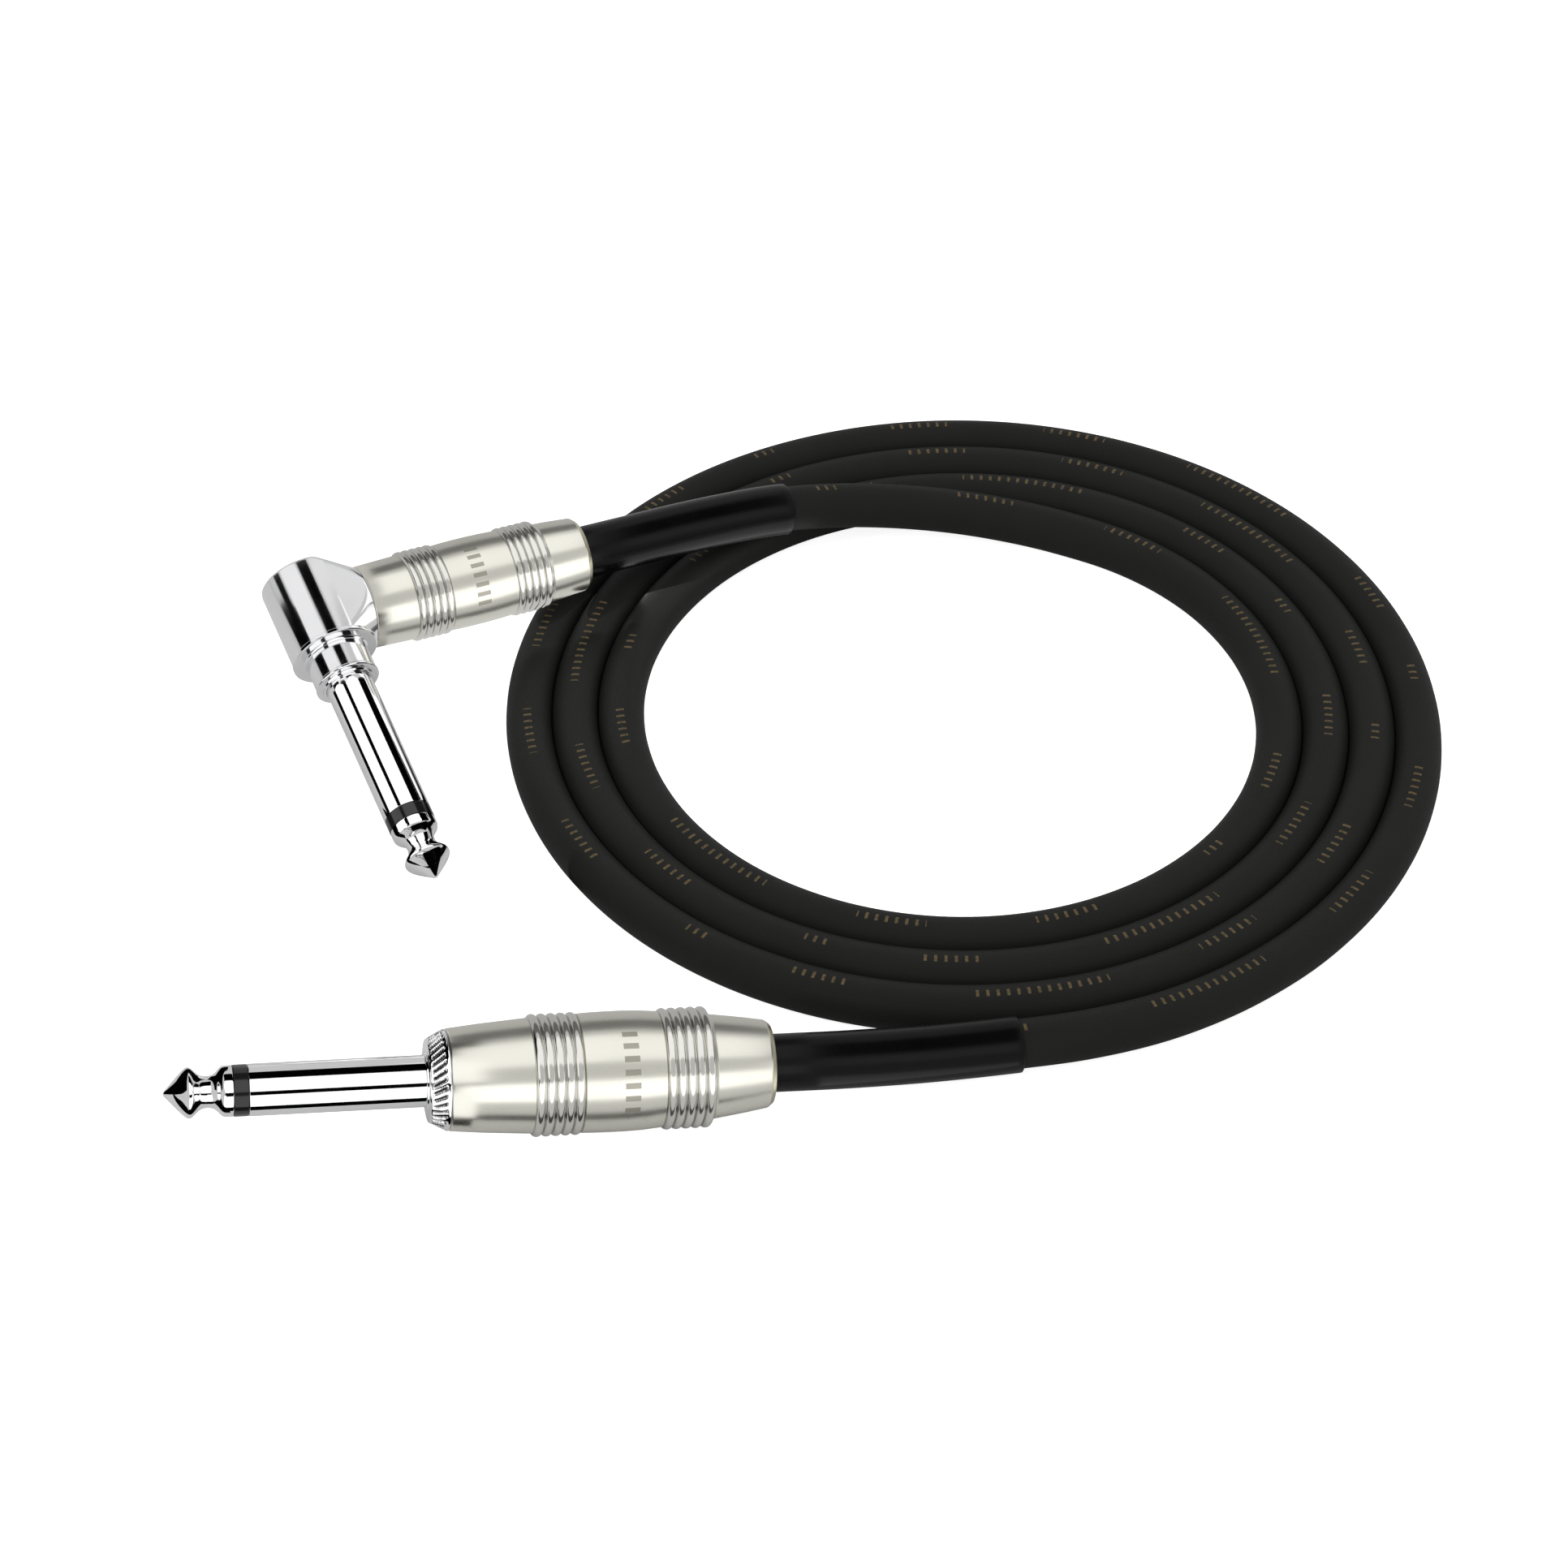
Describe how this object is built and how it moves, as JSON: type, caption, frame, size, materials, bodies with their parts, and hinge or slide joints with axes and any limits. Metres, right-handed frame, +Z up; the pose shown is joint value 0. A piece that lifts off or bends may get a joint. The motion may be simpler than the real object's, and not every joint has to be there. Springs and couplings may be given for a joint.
{
  "type": "instrument cable",
  "caption": "Coiled black audio cable with a straight and a right-angle quarter-inch plug, ribbed pearl-nickel screw-on shells and glossy strain-relief sleeves.",
  "frame": {"origin": "on the surface the cable lies on, under the middle of the box around the two plugs (cord and its strain reliefs left out)", "axes": "+Z up from that surface; the straight plug's finger points to -X and tips up from level; the coil lies towards +X"},
  "size_m": [0.1746, 0.1353, 0.0225],
  "materials": {
    "chrome": "polished nickel plate",
    "pearl_nickel": "satin pearl nickel plate on brass",
    "insulator_black": "gloss",
    "relief_black": "gloss sleeve",
    "jacket_black": "matte flexible PVC",
    "inner_white": "matte",
    "liner_clear": "milky film",
    "fibre_board": "paper-phenolic board",
    "brass": "turned",
    "tinned_steel": "tin plate",
    "copper": "bare stranded copper",
    "solder": "solder"
  },
  "bodies": {
    "cable_and_plugs": {"straight_tip_contact": "chrome", "straight_tip_insulator": "insulator_black", "straight_contact_sleeve": "chrome", "straight_rod_tube": "inner_white", "straight_threaded_body": "chrome", "straight_ground_clamp": "tinned_steel", "straight_lug_washer": "fibre_board", "straight_tip_lug": "brass", "straight_core_wire": "copper", "straight_core_insulation": "inner_white", "straight_shield_pigtail": "copper", "straight_tip_solder": "solder", "straight_ground_solder": "solder", "straight_strain_relief": "relief_black", "angle_tip_contact": "chrome", "angle_tip_insulator": "insulator_black", "angle_contact_sleeve": "chrome", "angle_rod_tube": "inner_white", "angle_ground_clamp": "tinned_steel", "angle_lug_washer": "fibre_board", "angle_tip_lug": "brass", "angle_core_wire": "copper", "angle_core_insulation": "inner_white", "angle_shield_pigtail": "copper", "angle_tip_solder": "solder", "angle_ground_solder": "solder", "angle_strain_relief": "relief_black", "angle_elbow_body": "chrome", "angle_elbow_cap": "chrome", "angle_link_rod": "brass", "angle_link_tube": "inner_white", "cable_coil": "jacket_black", "cable_straight_lead": "jacket_black", "cable_angle_lead": "jacket_black"},
    "straight_liner": {"straight_liner": "liner_clear"},
    "straight_shell": {"straight_shell": "pearl_nickel"},
    "angle_liner": {"angle_liner": "liner_clear"},
    "angle_shell": {"angle_shell": "pearl_nickel"}
  },
  "joints": [
    {"name": "straight_shell_travel", "type": "slide", "parent": "cable_and_plugs", "child": "straight_liner", "axis": [0.9945, 0, -0.1045], "range_m": [0, 0.00601]},
    {"name": "straight_shell_turn", "type": "hinge", "parent": "straight_liner", "child": "straight_shell", "pos_m": [0.01389, -0.0459, 0.00886], "axis": [0.9945, 0, -0.1045], "range_deg": [0, 2880]},
    {"name": "angle_shell_travel", "type": "slide", "parent": "cable_and_plugs", "child": "angle_liner", "axis": [0.9595, 0.2751, -0.061], "range_m": [0, 0.00601]},
    {"name": "angle_shell_turn", "type": "hinge", "parent": "angle_liner", "child": "angle_shell", "pos_m": [0.00869, 0.0441, 0.01377], "axis": [0.9595, 0.2751, -0.061], "range_deg": [0, 2880]}
  ],
  "couplings": [
    {"joint": "straight_shell_travel", "follows": "straight_shell_turn", "m_per_rad": 0.00011937},
    {"joint": "angle_shell_travel", "follows": "angle_shell_turn", "m_per_rad": 0.00011937}
  ]
}
